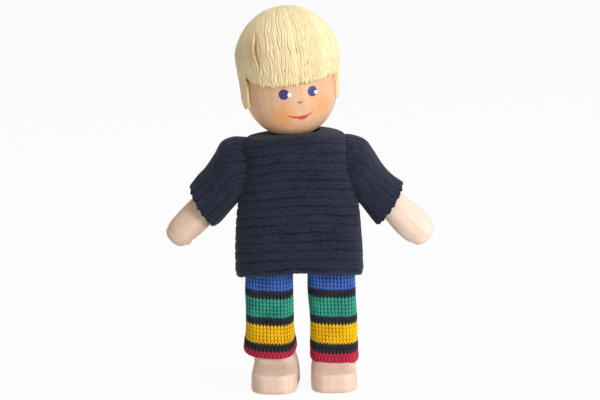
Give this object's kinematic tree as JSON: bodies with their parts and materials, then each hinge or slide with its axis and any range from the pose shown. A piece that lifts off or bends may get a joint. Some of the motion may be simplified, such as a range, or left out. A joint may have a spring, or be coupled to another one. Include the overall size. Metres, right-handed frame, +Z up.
{
  "type": "miniature doll",
  "caption": "Standing wooden dollhouse child with a blond wool wig, a navy ribbed knit sweater, striped knit trousers and pinned joints at the neck, shoulders, elbows, hips and knees.",
  "frame": {"origin": "on the floor under the middle of the standing doll", "axes": "+Z up from the soles to the crown, -Y to the doll's front, +X to the doll's own left"},
  "size_m": [0.0654, 0.0256, 0.0941],
  "materials": {
    "pale_wood": "sanded",
    "tinted_wood": "satin varnish",
    "brass": "drawn",
    "navy_knit": "ribbed knit",
    "striped_knit": "stocking stitch",
    "elastic": "woven elastic",
    "blond_wool": "wool yarn"
  },
  "bodies": {
    "torso": {"torso_block": "pale_wood", "sweater_front": "navy_knit", "sweater_front_hem": "navy_knit", "sweater_back": "navy_knit", "trouser_seat": "striped_knit", "waist_elastic": "elastic", "hip_pin_left": "brass", "hip_pin_right": "brass", "neck_pin": "brass"},
    "neck": {"neck_post": "pale_wood"},
    "head": {"head": "tinted_wood", "wig": "blond_wool"},
    "shoulder_left": {"shoulder_knuckle_left": "pale_wood", "shoulder_pin_left": "brass"},
    "upper_arm_left": {"upper_arm_left": "pale_wood", "sleeve_left": "navy_knit", "elbow_pin_left": "brass"},
    "forearm_left": {"forearm_left": "pale_wood"},
    "thigh_left": {"thigh_left": "pale_wood", "trouser_leg_left": "striped_knit", "knee_pin_left": "brass"},
    "lower_leg_left": {"lower_leg_left": "pale_wood"},
    "shoulder_right": {"shoulder_knuckle_right": "pale_wood", "shoulder_pin_right": "brass"},
    "upper_arm_right": {"upper_arm_right": "pale_wood", "sleeve_right": "navy_knit", "elbow_pin_right": "brass"},
    "forearm_right": {"forearm_right": "pale_wood"},
    "thigh_right": {"thigh_right": "pale_wood", "trouser_leg_right": "striped_knit", "knee_pin_right": "brass"},
    "lower_leg_right": {"lower_leg_right": "pale_wood"}
  },
  "joints": [
    {"name": "neck_tilt", "type": "hinge", "parent": "torso", "child": "neck", "pos_m": [0, 0, 0.057], "axis": [0, 1, 0], "range_deg": [-4, 13]},
    {"name": "head_turn", "type": "hinge", "parent": "neck", "child": "head", "pos_m": [0, 0, 0.057], "axis": [-0.0785, 0, 0.9969], "continuous": true},
    {"name": "shoulder_swing_left", "type": "hinge", "parent": "torso", "child": "shoulder_left", "pos_m": [0.01267, 0, 0.0547], "axis": [-1, 0, 0], "range_deg": [-60, 160], "deforming": ["sleeve_left"]},
    {"name": "shoulder_raise_left", "type": "hinge", "parent": "shoulder_left", "child": "upper_arm_left", "pos_m": [0.01267, 0, 0.0547], "axis": [0, -1, 0], "range_deg": [-10, 60], "deforming": ["sleeve_left"]},
    {"name": "elbow_left", "type": "hinge", "parent": "upper_arm_left", "child": "forearm_left", "pos_m": [0.01974, 0, 0.04763], "axis": [-0.7071, 0, -0.7071], "range_deg": [0, 90], "deforming": ["sleeve_left"]},
    {"name": "hip_left", "type": "hinge", "parent": "torso", "child": "thigh_left", "pos_m": [0.00785, 0, 0.0325], "axis": [-1, 0, 0], "range_deg": [-25, 90], "deforming": ["trouser_leg_left", "trouser_seat", "sweater_front_hem"]},
    {"name": "knee_left", "type": "hinge", "parent": "thigh_left", "child": "lower_leg_left", "pos_m": [0.00785, 0, 0.0175], "axis": [1, 0, 0], "range_deg": [0, 90], "deforming": ["trouser_leg_left"]},
    {"name": "shoulder_swing_right", "type": "hinge", "parent": "torso", "child": "shoulder_right", "pos_m": [-0.01267, 0, 0.0547], "axis": [-1, 0, 0], "range_deg": [-60, 160], "deforming": ["sleeve_right"]},
    {"name": "shoulder_raise_right", "type": "hinge", "parent": "shoulder_right", "child": "upper_arm_right", "pos_m": [-0.01267, 0, 0.0547], "axis": [0, 1, 0], "range_deg": [-10, 60], "deforming": ["sleeve_right"]},
    {"name": "elbow_right", "type": "hinge", "parent": "upper_arm_right", "child": "forearm_right", "pos_m": [-0.01992, 0, 0.04782], "axis": [-0.6884, 0, 0.7254], "range_deg": [0, 90], "deforming": ["sleeve_right"]},
    {"name": "hip_right", "type": "hinge", "parent": "torso", "child": "thigh_right", "pos_m": [-0.00785, 0, 0.0325], "axis": [-0.9976, 0.0698, 0], "range_deg": [-25, 90], "deforming": ["trouser_leg_right", "trouser_seat", "sweater_front_hem"]},
    {"name": "knee_right", "type": "hinge", "parent": "thigh_right", "child": "lower_leg_right", "pos_m": [-0.00785, 0, 0.0175], "axis": [0.9976, -0.0698, 0], "range_deg": [0, 90], "deforming": ["trouser_leg_right"]}
  ]
}
